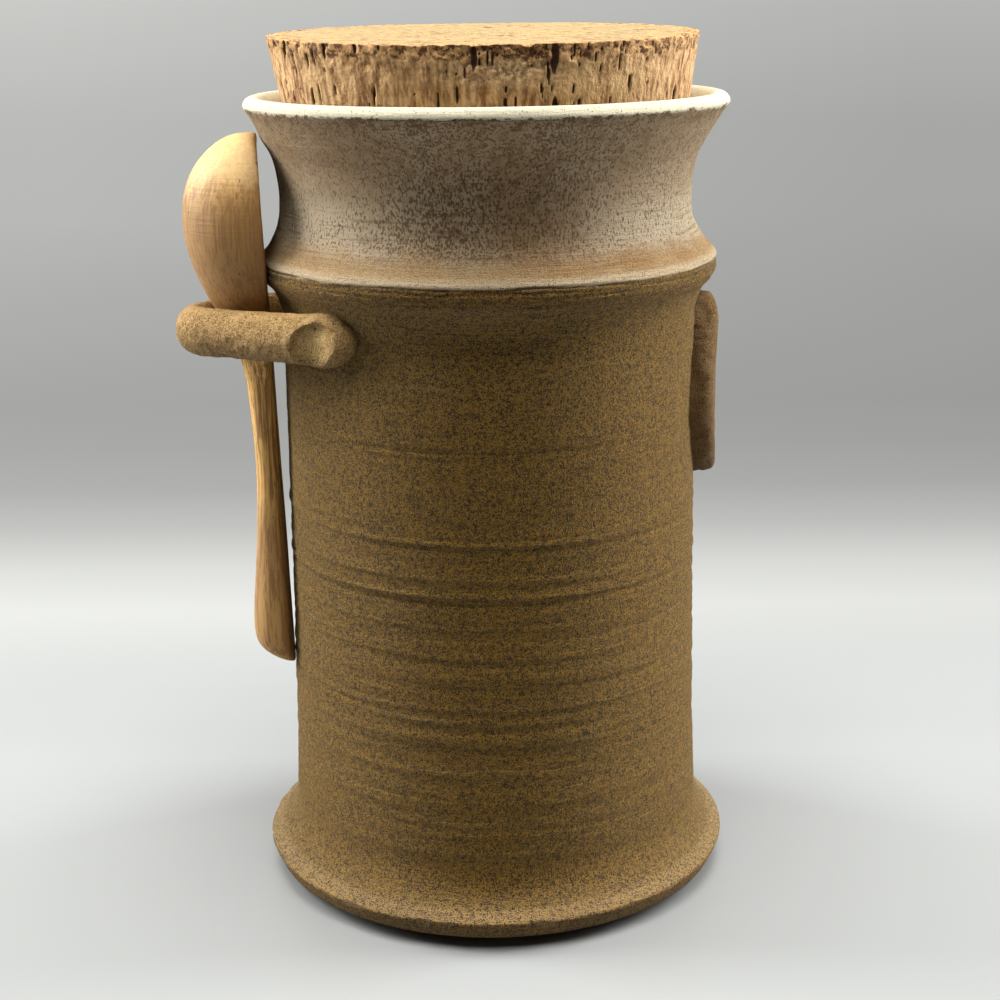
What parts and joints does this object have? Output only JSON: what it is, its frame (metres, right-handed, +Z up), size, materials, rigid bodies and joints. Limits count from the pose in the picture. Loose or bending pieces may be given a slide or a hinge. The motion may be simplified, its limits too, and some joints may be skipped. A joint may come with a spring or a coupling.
{
  "type": "ceramic canister",
  "caption": "Tall hand-thrown stoneware canister with a cork, a clay loop that holds a wooden scoop, and a plain clay medallion.",
  "frame": {"origin": "middle of the flat base, on the surface that the canister stands on", "axes": "+Z up along the jar's axis; the scoop and its loop are on the -X side, turned 8 degrees towards -Y; the medallion is on the +X side; the front is -Y"},
  "size_m": [0.1615, 0.1422, 0.2512],
  "materials": {
    "stoneware": "matt unglazed brown stoneware with iron specks, and a thin speckled off-white glaze on the neck and rim",
    "cork": "natural cork with dark upright pores and a crumbled top edge",
    "applied_clay": "matt unglazed tan clay, smoothed by hand, with a thumb print",
    "medallion_clay": "matt unglazed dark brown clay with a chipped edge",
    "scoop_wood": "bare sanded hardwood with fine lengthwise grain, darkened by handling"
  },
  "bodies": {
    "root": {"jar": "stoneware", "cork": "cork", "spoon_loop": "applied_clay", "side_lug": "medallion_clay", "spoon": "scoop_wood"}
  },
  "joints": []
}
